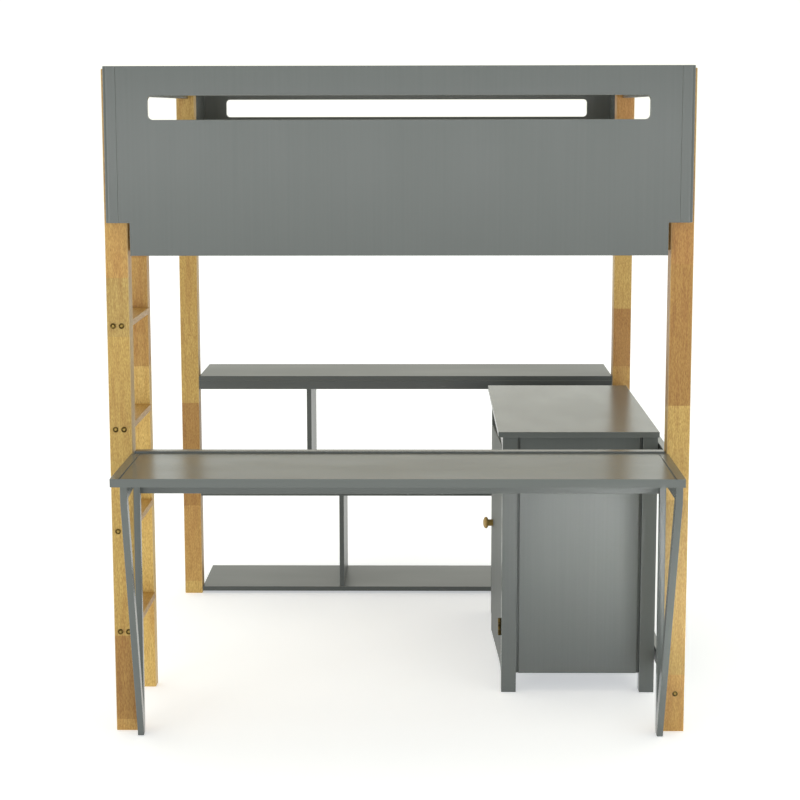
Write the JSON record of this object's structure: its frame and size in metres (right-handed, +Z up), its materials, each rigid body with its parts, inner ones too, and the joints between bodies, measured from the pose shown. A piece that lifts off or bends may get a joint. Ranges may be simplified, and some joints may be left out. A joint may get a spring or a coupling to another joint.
{
  "type": "loft bed with desk",
  "caption": "Loft bed on square posts with slotted end panels, ladder, desk on V-shaped legs, bookcase and a low cabinet with a hinged door.",
  "frame": {"origin": "centre of the whole object's footprint, on the floor", "axes": "+Z up, +Y from the desk end to the far end, +X to the bed's right side, where the cabinet stands"},
  "size_m": [1.45, 2.369, 1.674],
  "materials": {
    "clear_hardwood": "clear satin lacquer on finger-jointed hardwood",
    "plain_pine": "planed pine, uncoated",
    "turned_hardwood": "turned hardwood, clear lacquer",
    "grey_lacquer": "satin grey lacquer on board",
    "bronzed_steel": "bronzed steel bolt heads and hinges",
    "zinc_steel": "zinc-plated steel",
    "catch_plastic": "moulded plastic"
  },
  "bodies": {
    "frame": {"post_front_left": "clear_hardwood", "post_front_right": "clear_hardwood", "post_back_left": "clear_hardwood", "post_back_right": "clear_hardwood", "ladder_upright": "clear_hardwood", "rung_1": "clear_hardwood", "rung_2": "clear_hardwood", "rung_3": "clear_hardwood", "rung_4": "clear_hardwood", "end_panel_front": "grey_lacquer", "batten_front_left": "grey_lacquer", "batten_front_right": "grey_lacquer", "end_panel_back": "grey_lacquer", "batten_back_left": "grey_lacquer", "batten_back_right": "grey_lacquer", "side_panel_left": "grey_lacquer", "side_panel_right": "grey_lacquer", "top_rail_left": "grey_lacquer", "top_rail_right": "grey_lacquer", "entry_sill": "grey_lacquer", "far_side_left": "grey_lacquer", "far_side_right": "grey_lacquer", "slat_bearer_left": "plain_pine", "slat_bearer_right": "plain_pine", "centre_beam": "plain_pine", "slats": "plain_pine", "desk_top": "grey_lacquer", "desk_back_rail": "grey_lacquer", "desk_leg_left": "grey_lacquer", "desk_leg_right": "grey_lacquer", "low_stretcher": "grey_lacquer", "desk_side_rail": "grey_lacquer", "bookcase_top": "grey_lacquer", "bookcase_apron": "grey_lacquer", "bookcase_middle": "grey_lacquer", "bookcase_bottom": "grey_lacquer", "bookcase_divider_upper": "grey_lacquer", "bookcase_divider_lower": "grey_lacquer", "cabinet_top": "grey_lacquer", "cabinet_leg_near_left": "grey_lacquer", "cabinet_leg_near_right": "grey_lacquer", "cabinet_leg_far_left": "grey_lacquer", "cabinet_leg_far_right": "grey_lacquer", "cabinet_side_near": "grey_lacquer", "cabinet_side_far": "grey_lacquer", "cabinet_back": "grey_lacquer", "cabinet_floor": "grey_lacquer", "cabinet_partition": "grey_lacquer", "cabinet_shelf_closed": "grey_lacquer", "cabinet_shelf_open": "grey_lacquer", "cabinet_front_rail": "grey_lacquer", "hinge_leaves_leg": "bronzed_steel", "hinge_pins": "bronzed_steel", "door_catch": "catch_plastic", "face_bolts": "bronzed_steel", "frame_bolts": "zinc_steel", "barrel_nuts": "zinc_steel"},
    "door": {"cabinet_door": "grey_lacquer", "door_knob": "turned_hardwood", "hinge_leaves_door": "bronzed_steel"}
  },
  "joints": [
    {"name": "door_hinge", "type": "hinge", "parent": "frame", "child": "door", "pos_m": [0.2675, -0.4235, 0.4], "axis": [0, 0, 1], "range_deg": [-2, 108]}
  ]
}
